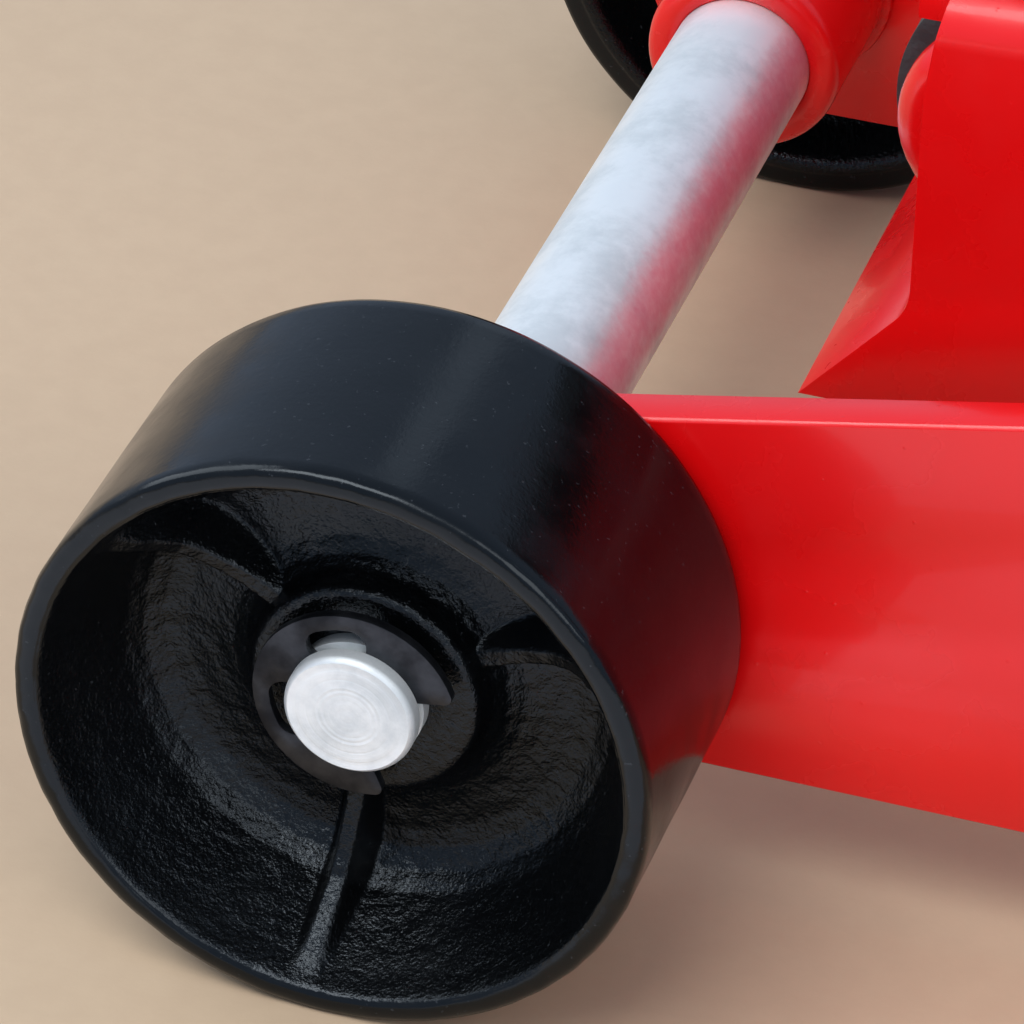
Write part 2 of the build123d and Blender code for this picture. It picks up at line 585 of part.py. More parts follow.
VALVE_LEAN = YOKE_RANGE / 2 - YOKE_LEAN
VALVE_PLANE = Plane(
    origin=(YOKE_X, 0, YOKE_Z), x_dir=(cos(VALVE_LEAN), 0, -sin(VALVE_LEAN)),
    z_dir=(sin(VALVE_LEAN), 0, cos(VALVE_LEAN)),
)
VALVE_STEM_R = 5.0
VALVE_BOSS_TOP = -34.0
VALVE_DEPTH = -59.0
PLUNGER_R = 6.0
PLUNGER_FACE = YOKE_X + CAM_R * sin(YOKE_RANGE / 2) - CAM_ROLLER_R - 0.5
PLUNGER_HEAD_T = 5.0
PLUNGER_STEM = 47.0
GUIDE_FACE = BLOCK_REAR + 5         # rear face of the boss that guides the plunger
FILLER_X = BLOCK_FRONT + 12
with BuildPart() as pump_block:
    with Locations(((BLOCK_FRONT + BLOCK_REAR) / 2, 0, (BLOCK_LOW + BLOCK_TOP) / 2)):
        Box(BLOCK_REAR - BLOCK_FRONT, 2 * BLOCK_HALF_W, BLOCK_TOP - BLOCK_LOW)
    fillet(pump_block.edges().filter_by(Axis.X), 9)
    fillet(pump_block.faces().sort_by(Axis.X)[-1].edges(), 3)
    with BuildSketch(VALVE_PLANE.offset(VALVE_BOSS_TOP)):
        Circle(11)
    extrude(amount=-28)
    with Locations((GUIDE_FACE - 3, CAM_Y, PLUNGER_Z)):
        Cylinder(11, 6, rotation=ALONG)
    with BuildSketch(VALVE_PLANE.offset(VALVE_BOSS_TOP)):
        Circle(VALVE_STEM_R + RUN)
    extrude(amount=VALVE_DEPTH - VALVE_BOSS_TOP, mode=Mode.SUBTRACT)
    with BuildSketch(front_plane(GUIDE_FACE)):
        with Locations((CAM_Y, PLUNGER_Z)):
            Circle(PLUNGER_R + RUN)
    extrude(amount=-(GUIDE_FACE - BLOCK_FRONT - 2), mode=Mode.SUBTRACT)
    with BuildSketch(front_plane(BLOCK_FRONT)):
        with Locations((0, RAM_Z)):
            Circle(CYL_OUT_R)
    extrude(amount=CYL_REAR - BLOCK_FRONT, mode=Mode.SUBTRACT)
    for z in UNIT_BOLT_Z:
        with Locations(*pair(UNIT_BOLT_X, (UNIT_BOLT_END + BLOCK_HALF_W) / 2, z)):
            Cylinder(UNIT_BOLT_R, BLOCK_HALF_W - UNIT_BOLT_END, rotation=ACROSS, mode=Mode.SUBTRACT)
    with Locations((FILLER_X, 0, BLOCK_TOP)):
        Cylinder(6, 16, mode=Mode.SUBTRACT)
save(pump_block, "pump_block")

with BuildPart() as filler_plug:
    with Locations((FILLER_X, 0, BLOCK_TOP - 4)):
        Cylinder(6, 8)
    with Locations((FILLER_X, 0, BLOCK_TOP + 1.5)):
        Cylinder(9, 3)
    with BuildSketch(Plane.XY.offset(BLOCK_TOP + 3)):
        with Locations((FILLER_X, 0)):
            Rectangle(2, 20)
    extrude(amount=-1.4, mode=Mode.SUBTRACT)
save(filler_plug, "filler_plug")

POST_END = 57.0
POST_HEAD_T = 2.0
with BuildPart() as spring_posts:
    with Locations(*pair(UNIT_BOLT_X, (BLOCK_HALF_W + POST_END) / 2, RAM_Z)):
        Cylinder(4, POST_END - BLOCK_HALF_W, rotation=ACROSS)
    with Locations(*pair(UNIT_BOLT_X, POST_END - POST_HEAD_T / 2, RAM_Z)):
        Cylinder(6.5, POST_HEAD_T, rotation=ACROSS)
save(spring_posts, "spring_posts")

SPRING_FRONT = BAR_X + BAR_T + 0.5
SPRING_REAR = UNIT_BOLT_X - 7
with BuildPart() as return_springs:
    with Locations(*pair((SPRING_FRONT + SPRING_REAR) / 2, SPRING_Y, RAM_Z)):
        Cylinder(SPRING_R, SPRING_REAR - SPRING_FRONT, rotation=ALONG)
save(return_springs, "return_springs")

BRACKET_OUT = BLOCK_HALF_W + BRACKET_T
with BuildPart() as unit_spacers:
    for z in UNIT_BOLT_Z:
        with Locations(*pair(UNIT_BOLT_X, (BRACKET_OUT + PLATE_IN) / 2, z)):
            Cylinder(9, PLATE_IN - BRACKET_OUT, rotation=ACROSS)
            Cylinder(UNIT_BOLT_R, PLATE_IN - BRACKET_OUT, rotation=ACROSS, mode=Mode.SUBTRACT)
save(unit_spacers, "unit_spacers")

# ---- yoke brackets on the block, their pivot bolts and the stop pin ----
STOP_X = YOKE_X - 24
STOP_Z = YOKE_Z + 20
STOP_R = 4.0
YOKE_BOLT_R = 6.0
with BuildPart() as yoke_brackets:
    with BuildSketch(side_plane(BRACKET_OUT)):
        with Locations(*[(UNIT_BOLT_X, z) for z in UNIT_BOLT_Z]):
            Circle(11)
        with Locations((YOKE_X, YOKE_Z)):
            Circle(14)
        with Locations((STOP_X, STOP_Z)):
            Circle(9)
        make_hull()
        with Locations(*[(UNIT_BOLT_X, z) for z in UNIT_BOLT_Z]):
            Circle(UNIT_BOLT_R, mode=Mode.SUBTRACT)
        with Locations((YOKE_X, YOKE_Z)):
            Circle(YOKE_BOLT_R, mode=Mode.SUBTRACT)
        with Locations((STOP_X, STOP_Z)):
            Circle(STOP_R, mode=Mode.SUBTRACT)
    extrude(amount=BRACKET_T)
    mirror(about=Plane.XZ)
save(yoke_brackets, "yoke_brackets")

with BuildPart() as yoke_pins:
    with Locations((YOKE_X, BRACKET_OUT - 7, YOKE_Z)):
        Cylinder(YOKE_BOLT_R, 14, rotation=ACROSS)
    with BuildSketch(side_plane(BRACKET_OUT)):
        with Locations((YOKE_X, YOKE_Z)):
            RegularPolygon(10.4, 6)
    extrude(amount=7, dir=(0, 1, 0))
    mirror(about=Plane.XZ)
    with Locations((STOP_X, 0, STOP_Z)):
        Cylinder(STOP_R, 2 * BRACKET_OUT + 2, rotation=ACROSS)
save(yoke_pins, "yoke_pins")

# ---- handle yoke with its socket and pump roller ----
YOKE_CHEEK_IN = 30.0
YOKE_CHEEK_OUT = 37.6
YOKE_PLANE = Plane(
    origin=(YOKE_X, 0, YOKE_Z), x_dir=(cos(YOKE_LEAN), 0, sin(YOKE_LEAN)),
    z_dir=(-sin(YOKE_LEAN), 0, cos(YOKE_LEAN)),
)
CAM_AT = (YOKE_X + CAM_R * sin(YOKE_RANGE / 2), YOKE_Z - CAM_R * cos(YOKE_RANGE / 2))
BRIDGE_LOW = 26.0
BRIDGE_TOP = 40.0
SOCKET_TOP = 128.0
SOCKET_R = 21.0
LOCK_T = 100.0
LOCK_R = 4.0
CAM_PIN_R = 4.0
CAM_ROLLER_HALF_W = 7.3
with BuildPart(YOKE_PLANE) as handle_yoke:
    with Locations((0, 0, (BRIDGE_LOW + BRIDGE_TOP) / 2)):
        Box(34, 2 * YOKE_CHEEK_OUT, BRIDGE_TOP - BRIDGE_LOW)
    fillet(handle_yoke.edges().filter_by(Axis.Y), 4)
    with Locations(*pair(0, (YOKE_CHEEK_IN + YOKE_CHEEK_OUT) / 2, 0)):
        Cylinder(15, YOKE_CHEEK_OUT - YOKE_CHEEK_IN, rotation=ACROSS)
    with Locations(*pair(0, (YOKE_CHEEK_IN + YOKE_CHEEK_OUT) / 2, 15)):
        Box(30, YOKE_CHEEK_OUT - YOKE_CHEEK_IN, 30)
    with BuildSketch(side_plane(YOKE_CHEEK_OUT)):
        with Locations((YOKE_X, YOKE_Z)):
            Circle(15)
        with Locations(CAM_AT):
            Circle(8)
        make_hull()
    extrude(amount=YOKE_CHEEK_OUT - YOKE_CHEEK_IN)
    with BuildSketch(YOKE_PLANE.offset(BRIDGE_TOP - 2)):
        Circle(SOCKET_R + 3)
    extrude(amount=SOCKET_TOP - BRIDGE_TOP + 2, taper=1.9)
    with BuildSketch(YOKE_PLANE.offset(BRIDGE_LOW)):
        Circle(HANDLE_R + RUN)
    extrude(amount=SOCKET_TOP - BRIDGE_LOW, mode=Mode.SUBTRACT)
    Cylinder(YOKE_BOLT_R + RUN, 100, rotation=ACROSS, mode=Mode.SUBTRACT)
    with Locations((-30, 0, LOCK_T)):
        Cylinder(LOCK_R, 60, rotation=ALONG, mode=Mode.SUBTRACT)
    with BuildSketch(side_plane(60)):
        with Locations(CAM_AT):
            Circle(CAM_PIN_R)
    extrude(amount=40, mode=Mode.SUBTRACT)
save(handle_yoke, "handle_yoke")

with BuildPart() as cam_pin:
    with BuildSketch(side_plane(YOKE_CHEEK_OUT)):
        with Locations(CAM_AT):
            Circle(CAM_PIN_R)
    extrude(amount=YOKE_CHEEK_OUT - CAM_Y + 9)
    with BuildSketch(side_plane(CAM_Y - CAM_ROLLER_HALF_W - 0.2)):
        with Locations(CAM_AT):
            Circle(5.5)
    extrude(amount=1.5)
save(cam_pin, "cam_pin")

with BuildPart() as cam_roller:
    with BuildSketch(side_plane(CAM_Y + CAM_ROLLER_HALF_W)):
        with Locations(CAM_AT):
            Circle(CAM_ROLLER_R)
            Circle(CAM_PIN_R + RUN, mode=Mode.SUBTRACT)
    extrude(amount=2 * CAM_ROLLER_HALF_W)
save(cam_roller, "cam_roller")

with BuildPart(YOKE_PLANE) as lock_screw:
    with Locations((-24.9, 0, LOCK_T)):
        Cylinder(LOCK_R, 22, rotation=ALONG)
    with Locations((-31.5, 0, LOCK_T)):
        Cylinder(10, 8, rotation=ALONG)
save(lock_screw, "lock_screw")

# ---- handle: two tubes, button, bumper and grip ----
LOWER_TOP = 330.0
UPPER_LOW = 272.0
UPPER_TOP = 618.0
NOTCH_W = 9.0
NOTCH_TOP = 12.0
TUBE_END = -4.0
BUTTON_T = 300.0
BUTTON_R = 4.0
OUTWARD = (Align.CENTER, Align.CENTER, Align.MIN)
with BuildPart(YOKE_PLANE) as handle_lower_tube:
    with BuildSketch(YOKE_PLANE.offset(TUBE_END)):
        Circle(HANDLE_R)
        Circle(HANDLE_BORE_R, mode=Mode.SUBTRACT)
    extrude(amount=LOWER_TOP - TUBE_END)
    with Locations((0, 0, (NOTCH_TOP + TUBE_END) / 2)):
        Box(NOTCH_W, 2 * HANDLE_R + 2, NOTCH_TOP - TUBE_END, mode=Mode.SUBTRACT)
    with BuildSketch(YOKE_PLANE.offset(LOCK_T - 4.5)):
        Circle(HANDLE_R + 1)
        Circle(HANDLE_R - 1.3, mode=Mode.SUBTRACT)
    extrude(amount=9, mode=Mode.SUBTRACT)
    with Locations((0, 0, BUTTON_T)):
        Cylinder(BUTTON_R, 20, rotation=ALONG, align=OUTWARD, mode=Mode.SUBTRACT)
save(handle_lower_tube, "handle_lower_tube")

with BuildPart(YOKE_PLANE) as handle_upper_tube:
    with BuildSketch(YOKE_PLANE.offset(UPPER_LOW)):
        Circle(HANDLE_BORE_R - RUN)
        Circle(HANDLE_BORE_R - 2.5, mode=Mode.SUBTRACT)
    extrude(amount=UPPER_TOP - UPPER_LOW)
    with Locations((0, 0, BUTTON_T)):
        Cylinder(BUTTON_R, 20, rotation=ALONG, align=OUTWARD, mode=Mode.SUBTRACT)
save(handle_upper_tube, "handle_upper_tube")

with BuildPart(YOKE_PLANE) as handle_button:
    with Locations((8, 0, BUTTON_T)):
        Cylinder(BUTTON_R, 8.5, rotation=ALONG, align=OUTWARD)
    fillet(handle_button.edges().sort_by(Axis.X)[-1], 1.5)
save(handle_button, "handle_button")

BUMPER_LOW = 160.0
BUMPER_LEN = 100.0
with BuildPart(YOKE_PLANE) as handle_bumper:
    with BuildSketch(YOKE_PLANE.offset(BUMPER_LOW)):
        Circle(HANDLE_R + 8)
        Circle(HANDLE_R, mode=Mode.SUBTRACT)
    extrude(amount=BUMPER_LEN)
    fillet(handle_bumper.edges().filter_by(lambda e: e.geom_type == GeomType.CIRCLE and e.radius > 20), 3)
save(handle_bumper, "handle_bumper")

GRIP_R = 17.0
GRIP_LOW = 500.0
GRIP_TOP = 624.0
with BuildPart(YOKE_PLANE) as handle_grip:
    with BuildSketch(YOKE_PLANE.offset(GRIP_LOW)):
        Circle(GRIP_R)
    extrude(amount=GRIP_TOP - GRIP_LOW)
    fillet(handle_grip.edges().filter_by(GeomType.CIRCLE), 4)
    with BuildSketch(YOKE_PLANE.offset(GRIP_LOW)):
        Circle(HANDLE_BORE_R - RUN)
    extrude(amount=UPPER_TOP - GRIP_LOW, mode=Mode.SUBTRACT)
save(handle_grip, "handle_grip")

# ---- release valve: a ball and cross pin that the notched handle turns ----
with BuildPart(VALVE_PLANE) as valve_stem:
    Sphere(9)
    with Locations((0, 0, (VALVE_DEPTH + 1) / 2)):
        Cylinder(VALVE_STEM_R, -VALVE_DEPTH - 1)
    Cylinder(2.5, 28, rotation=ACROSS)
save(valve_stem, "valve_stem")

# ---- pump plunger and its spring ----
with BuildPart() as pump_plunger:
    with BuildSketch(front_plane(PLUNGER_FACE)):
        with Locations((CAM_Y, PLUNGER_Z)):
            Circle(9.5)
    extrude(amount=-PLUNGER_HEAD_T)
    with BuildSketch(front_plane(PLUNGER_FACE - PLUNGER_HEAD_T)):
        with Locations((CAM_Y, PLUNGER_Z)):
            Circle(PLUNGER_R)
    extrude(amount=-PLUNGER_STEM)
save(pump_plunger, "pump_plunger")

with BuildPart() as plunger_spring:
    with BuildSketch(front_plane(GUIDE_FACE)):
        with Locations((CAM_Y, PLUNGER_Z)):
            Circle(9)
            Circle(6.8, mode=Mode.SUBTRACT)
    extrude(amount=PLUNGER_FACE - PLUNGER_HEAD_T - GUIDE_FACE)
save(plunger_spring, "plunger_spring")

# ---- rear casters and the brackets that carry them ----
SHELF_T = 6.0
FLANGE_T = 5.0
SHELF_FRONT = AXLE_X + 514
SHELF_REAR = AXLE_X + 572
SHELF_OUT = 131.0
SHELF_MID = (SHELF_FRONT + SHELF_REAR) / 2
SHELF_LEN = SHELF_REAR - SHELF_FRONT
STEM_HOLE_R = 6.0
CASTER_BOLTS = [(AXLE_X + x, z) for x in (528, 558) for z in (80, 95)]
with BuildPart() as caster_brackets:
    with BuildSketch(side_plane(PLATE_OUT)) as flange:
        with Locations((SHELF_MID, SHELF_Z + 20)):
            RectangleRounded(SHELF_LEN, 40, 6)
        with Locations((SHELF_MID, SHELF_Z + 5)):
            Rectangle(SHELF_LEN, 10)
    extrude(amount=FLANGE_T, dir=(0, 1, 0))
    with BuildSketch(Plane.XY.offset(SHELF_Z)):
        with Locations((SHELF_MID, (PLATE_OUT + SHELF_OUT) / 2)):
            RectangleRounded(SHELF_LEN, SHELF_OUT - PLATE_OUT, 8)
        with Locations((SHELF_MID, PLATE_OUT + 8)):
            Rectangle(SHELF_LEN, 16)
        with Locations((CASTER_X, CASTER_Y)):
            Circle(STEM_HOLE_R, mode=Mode.SUBTRACT)
    extrude(amount=SHELF_T)
    mirror(about=Plane.XZ)
save(caster_brackets, "caster_brackets")

HEAD_T = 6.4
with BuildPart() as frame_bolts:
    with Locations(*[(UNIT_BOLT_X, (UNIT_BOLT_END + PLATE_OUT) / 2, z) for z in UNIT_BOLT_Z]):
        Cylinder(UNIT_BOLT_R, PLATE_OUT - UNIT_BOLT_END, rotation=ACROSS)
    with BuildSketch(side_plane(PLATE_OUT)):
        with Locations(*[(UNIT_BOLT_X, z) for z in UNIT_BOLT_Z]):
            RegularPolygon(9.2, 6)
    extrude(amount=HEAD_T, dir=(0, 1, 0))
    with BuildSketch(side_plane(PLATE_OUT + FLANGE_T)):
        with Locations(*CASTER_BOLTS):
            RegularPolygon(6.8, 6)
    extrude(amount=5, dir=(0, 1, 0))
    mirror(about=Plane.XZ)
save(frame_bolts, "frame_bolts")

STEM_LOW = 54.5
RACE_LOW = FORK_TOP + 0.2
with BuildPart() as caster_swivels:
    with Locations(*pair(CASTER_X, CASTER_Y, 0)):
        with Locations((0, 0, (SHELF_Z + SHELF_T + STEM_LOW) / 2)):
            Cylinder(STEM_HOLE_R, SHELF_Z + SHELF_T - STEM_LOW)
        with Locations((0, 0, SHELF_Z + SHELF_T + 2)):
            Cylinder(10, 4)
        with Locations((0, 0, STEM_LOW + 1.5)):
            Cylinder(9, 3)
        with Locations((0, 0, (RACE_LOW + SHELF_Z) / 2)):
            Cylinder(18, SHELF_Z - RACE_LOW)
save(caster_swivels, "caster_swivels")

LEG_IN = 14.0
LEG_T = 3.0
LEG_OUT = LEG_IN + LEG_T
CROWN_T = 3.0
CASTER_PIN_R = 4.0
NUT_R = 7.0
NUT_T = 4.0
WHEEL_X = CASTER_X + CASTER_TRAIL
leg_outline = [
    (CASTER_X - 13, FORK_TOP),
    (CASTER_X + 13, FORK_TOP),
    (WHEEL_X + 7, CASTER_R + 6),
    (WHEEL_X + 7, CASTER_R - 7),
    (WHEEL_X - 7, CASTER_R - 7),
    (WHEEL_X - 8, CASTER_R + 4),
]
for side, sign in SIDES.items():
    y = sign * CASTER_Y
    with BuildPart() as caster_fork:
        with Locations((CASTER_X, y, FORK_TOP - CROWN_T / 2)):
            Cylinder(21, CROWN_T)
        for leg_face in (y - LEG_IN, y + LEG_OUT):
            with BuildSketch(side_plane(leg_face)):
                with BuildLine():
                    Polyline(*leg_outline, close=True)
                make_face()
            extrude(amount=LEG_T)
        with Locations((CASTER_X, y, FORK_TOP)):
            Cylinder(STEM_HOLE_R + RUN, 20, mode=Mode.SUBTRACT)
        with Locations((WHEEL_X, y, CASTER_R)):
            Cylinder(CASTER_PIN_R, 60, rotation=ACROSS, mode=Mode.SUBTRACT)
    save(caster_fork, f"caster_fork_{side}")

    with BuildPart() as caster_axle:
        with Locations((WHEEL_X, y, CASTER_R)):
            Cylinder(CASTER_PIN_R, 2 * LEG_OUT + 2, rotation=ACROSS)
        for nut_face in (y - LEG_OUT, y + LEG_OUT + NUT_T):
            with BuildSketch(side_plane(nut_face)):
                with Locations((WHEEL_X, CASTER_R)):
                    RegularPolygon(NUT_R, 6)
            extrude(amount=NUT_T)
    save(caster_axle, f"caster_axle_{side}")

    with BuildPart() as caster_wheel:
        with Locations((WHEEL_X, y, CASTER_R)):
            Cylinder(CASTER_R, 2 * CASTER_HALF_W, rotation=ACROSS)
        fillet(caster_wheel.edges().filter_by(GeomType.CIRCLE), 2)
        recess_y = CASTER_HALF_W - 2
        with Locations((WHEEL_X, y - recess_y, CASTER_R), (WHEEL_X, y + recess_y, CASTER_R)):
            Cylinder(22, 4, rotation=ACROSS, mode=Mode.SUBTRACT)
            Cylinder(9, 4, rotation=ACROSS)
        with Locations((WHEEL_X, y, CASTER_R)):
            Cylinder(CASTER_PIN_R + RUN, 2 * CASTER_HALF_W, rotation=ACROSS, mode=Mode.SUBTRACT)
    save(caster_wheel, f"caster_wheel_{side}")
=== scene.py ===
import json
from math import cos, pi, radians, sin, tau

import bmesh
import bpy
from mathutils import Matrix, Vector, noise

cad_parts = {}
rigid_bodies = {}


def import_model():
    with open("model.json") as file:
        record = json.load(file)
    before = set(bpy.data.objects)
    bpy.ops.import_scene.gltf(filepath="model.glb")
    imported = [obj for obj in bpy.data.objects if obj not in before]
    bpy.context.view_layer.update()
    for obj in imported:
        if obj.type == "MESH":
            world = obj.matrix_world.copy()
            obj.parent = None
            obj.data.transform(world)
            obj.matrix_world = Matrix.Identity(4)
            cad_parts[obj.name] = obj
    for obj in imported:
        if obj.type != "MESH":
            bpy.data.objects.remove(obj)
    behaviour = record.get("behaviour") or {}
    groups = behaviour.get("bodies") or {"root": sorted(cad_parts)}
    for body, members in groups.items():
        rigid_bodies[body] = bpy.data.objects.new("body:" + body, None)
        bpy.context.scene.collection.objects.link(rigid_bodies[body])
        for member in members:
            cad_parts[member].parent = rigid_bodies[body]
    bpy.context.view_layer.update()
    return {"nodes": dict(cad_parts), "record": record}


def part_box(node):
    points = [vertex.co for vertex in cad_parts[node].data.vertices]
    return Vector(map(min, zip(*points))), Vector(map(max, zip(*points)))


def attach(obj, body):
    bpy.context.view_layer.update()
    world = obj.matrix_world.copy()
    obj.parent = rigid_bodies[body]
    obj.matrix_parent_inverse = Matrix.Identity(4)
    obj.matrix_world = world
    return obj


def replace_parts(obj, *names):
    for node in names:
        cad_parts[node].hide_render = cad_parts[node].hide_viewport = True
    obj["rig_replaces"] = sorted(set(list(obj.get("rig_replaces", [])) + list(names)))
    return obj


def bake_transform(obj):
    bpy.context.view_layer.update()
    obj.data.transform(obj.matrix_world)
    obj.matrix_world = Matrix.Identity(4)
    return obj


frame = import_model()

MM = 0.001


def middle(node):
    """Middle of a CAD node's box at rest."""
    low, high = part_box(node)
    return (low + high) / 2


AXLE = middle("front_axle")
AXLE_END_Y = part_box("front_axle")[1].y
BAR_R, END_R, GROOVE_R = 11.0, 9.2, 7.5     # axle bar, turned end and clip groove, millimetres
SIDES = {"left": -1, "right": 1}


# ---------------------------------------------------------------- node helpers
def put(tree, socket, value):
    """Link a socket to another, or set its own value."""
    if isinstance(value, bpy.types.NodeSocket):
        tree.links.new(value, socket)
    else:
        socket.default_value = value


def add(tree, kind, inputs, **settings):
    """A new node of this kind with its inputs set or linked."""
    new = tree.nodes.new("ShaderNode" + kind)
    for key, value in settings.items():
        setattr(new, key, value)
    for key, value in inputs.items():
        put(tree, new.inputs[key], value)
    return new


def grain(tree, where, scale, detail=3.0, rough=0.55):
    """Cloudy noise from 0 to 1."""
    inputs = {"Vector": where, "Scale": scale, "Detail": detail, "Roughness": rough}
    return add(tree, "TexNoise", inputs).outputs["Fac"]


def stretched(tree, where, scale):
    """The coordinates, scaled by a different amount along each axis."""
    return add(tree, "Mapping", {"Vector": where, "Scale": scale}).outputs["Vector"]


def step(tree, value, low, high, to_low=0.0, to_high=1.0):
    """A smooth step of value from low to high."""
    inputs = {
        "Value": value, "From Min": low, "From Max": high, "To Min": to_low, "To Max": to_high,
    }
    return add(tree, "MapRange", inputs, interpolation_type="SMOOTHSTEP").outputs["Result"]


def arith(tree, operation, a, b=0.0):
    return add(tree, "Math", {0: a, 1: b}, operation=operation).outputs[0]


def blend_colour(tree, factor, a, b):
    inputs = {0: factor, 6: a, 7: b}
    return add(tree, "Mix", inputs, data_type="RGBA").outputs[2]


def bumps(tree, layers):
    """One bump on another: (height, strength, distance) from coarse to fine."""
    normal = None
    for height, strength, distance in layers:
        inputs = {"Height": height, "Strength": strength, "Distance": distance}
        if normal is not None:
            inputs["Normal"] = normal
        normal = add(tree, "Bump", inputs).outputs["Normal"]
    return normal


def material(name):
    """An empty material: its node tree, its shader and the object's own coordinates."""
    made = bpy.data.materials.new(name)
    made.use_nodes = True
    tree = made.node_tree
    tree.nodes.clear()
    shader = tree.nodes.new("ShaderNodeBsdfPrincipled")
    output = tree.nodes.new("ShaderNodeOutputMaterial")
    tree.links.new(shader.outputs[0], output.inputs[0])
    where = tree.nodes.new("ShaderNodeTexCoord").outputs["Object"]
    return made, tree, shader, where


def dress(tree, shader, **inputs):
    """Set or link the shader's inputs, named with _ for each space."""
    for key, value in inputs.items():
        put(tree, shader.inputs[key.replace("_", " ")], value)


# ---------------------------------------------------------------- materials
def enamel(name, dark, light, peel=0.05):
    """Gloss enamel: colour drifts a little, with fine orange peel, dust nibs and duller patches."""
    made, tree, shader, where = material(name)
    drift = step(tree, grain(tree, where, 9.0, 2.0), 0.35, 0.65)
    colour = blend_colour(tree, drift, (*dark, 1), (*light, 1))
    dull = grain(tree, where, 60.0, 4.0)
    nibs = add(tree, "TexVoronoi", {"Vector": where, "Scale": 230.0}).outputs["Distance"]
    normal = bumps(tree, [
        (grain(tree, where, 30.0, 1.0), peel, 0.003),
        (grain(tree, where, 520.0, 2.0), peel, 0.0005),
        (step(tree, nibs, 0.085, 0.02), 0.25, 0.0002),
    ])
    dress(tree, shader, Base_Color=colour, Roughness=step(tree, dull, 0.3, 0.7, 0.22, 0.34),
          Normal=normal)
    dress(tree, shader, Coat_Weight=0.25, Coat_Roughness=0.05, Coat_IOR=1.45)
    return made


RIM_INSIDE = (40.9, 40.3)           # radii between which the turned rim meets the gritty bowl


def cast_enamel(name):
    """Black enamel over a sand casting: gritty in the bowl, smoother on the turned rim and tread."""
    made, tree, shader, where = material(name)
    position = add(tree, "SeparateXYZ", {0: where}).outputs
    off_x = arith(tree, "SUBTRACT", position["X"], AXLE.x)
    off_z = arith(tree, "SUBTRACT", position["Z"], AXLE.z)
    across = add(tree, "CombineXYZ", {"X": off_x, "Z": off_z}).outputs[0]
    radius = add(tree, "VectorMath", {0: across}, operation="LENGTH").outputs["Value"]
    gritty = step(tree, radius, RIM_INSIDE[0] * MM, RIM_INSIDE[1] * MM, 0.10, 1.0)
    tint = step(tree, grain(tree, where, 14.0, 3.0), 0.3, 0.7)
    colour = blend_colour(tree, tint, (0.0010, 0.0012, 0.0014, 1), (0.0028, 0.0031, 0.0036, 1))
    dust = arith(tree, "MULTIPLY", step(tree, grain(tree, where, 1300.0, 2.0), 0.68, 0.74), 0.10)
    colour = blend_colour(tree, dust, colour, (0.20, 0.22, 0.24, 1))
    sand = arith(tree, "MULTIPLY", grain(tree, where, 950.0, 3.0, 0.6), gritty)
    fine = arith(tree, "MULTIPLY", grain(tree, where, 2400.0, 2.0), gritty)
    turned = grain(tree, stretched(tree, where, (8.0, 1500.0, 8.0)), 1.0, 2.0)
    dull = step(tree, grain(tree, where, 110.0, 4.0), 0.35, 0.7, 0.15, 0.27)
    normal = bumps(tree, [(sand, 0.50, 0.0005), (fine, 0.55, 0.0002), (turned, 0.05, 0.0001)])
    dress(tree, shader, Base_Color=colour, Roughness=dull, Normal=normal)
    dress(tree, shader, Specular_IOR_Level=0.34, Specular_Tint=(0.82, 0.92, 1.0, 1))
    return made


OVERSPRAY_RISE = radians(24)        # the painted side faces the rear, this far above level
OVERSPRAY_END = (0.084, 0.082)      # metres from the middle, where the paint fades in


def zinc(name, overspray=False):
    """Zinc plate on drawn bar: cloudy, half matt, with fine lines along it and faint stains."""
    made, tree, shader, where = material(name)
    cloud = grain(tree, where, 95.0, 6.0, 0.65)
    along = grain(tree, stretched(tree, where, (900.0, 14.0, 900.0)), 1.0, 3.0)
    pale = step(tree, cloud, 0.30, 0.62)
    colour = blend_colour(tree, pale, (0.68, 0.72, 0.73, 1), (0.90, 0.93, 0.93, 1))
    stain = grain(tree, stretched(tree, where, (85.0, 30.0, 85.0)), 1.0, 5.0)
    stain = step(tree, stain, 0.55, 0.72)
    colour = blend_colour(tree, arith(tree, "MULTIPLY", stain, 0.30), colour, (0.38, 0.42, 0.46, 1))
    metal = 0.55
    rough = step(tree, cloud, 0.3, 0.7, 0.58, 0.44)
    if overspray:
        position = add(tree, "SeparateXYZ", {0: where}).outputs
        off_x = arith(tree, "SUBTRACT", position["X"], AXLE.x)
        off_z = arith(tree, "SUBTRACT", position["Z"], AXLE.z)
        across = arith(tree, "MULTIPLY", off_x, cos(OVERSPRAY_RISE))
        upward = arith(tree, "MULTIPLY", off_z, sin(OVERSPRAY_RISE))
        facing = arith(tree, "DIVIDE", arith(tree, "ADD", across, upward), BAR_R * MM)
        patches = grain(tree, stretched(tree, where, (70.0, 22.0, 70.0)), 1.0, 4.0, 0.7)
        speckle = grain(tree, where, 620.0, 3.0, 0.7)
        reach = arith(tree, "ADD", facing, arith(tree, "MULTIPLY", patches, 0.20))
        reach = arith(tree, "ADD", reach, arith(tree, "MULTIPLY", speckle, 0.08))
        paint = step(tree, reach, 0.97, 1.17)
        bar_only = step(tree, arith(tree, "ABSOLUTE", position["Y"]), *OVERSPRAY_END)
        paint = arith(tree, "MULTIPLY", arith(tree, "MULTIPLY", paint, bar_only), 0.80)
        colour = blend_colour(tree, paint, colour, (0.62, 0.035, 0.11, 1))
        metal = step(tree, paint, 0.1, 0.9, 0.55, 0.15)
    normal = bumps(tree, [(along, 0.08, 0.0002), (cloud, 0.12, 0.0003)])
    dress(tree, shader, Base_Color=colour, Roughness=rough, Metallic=metal, Normal=normal)
    return made


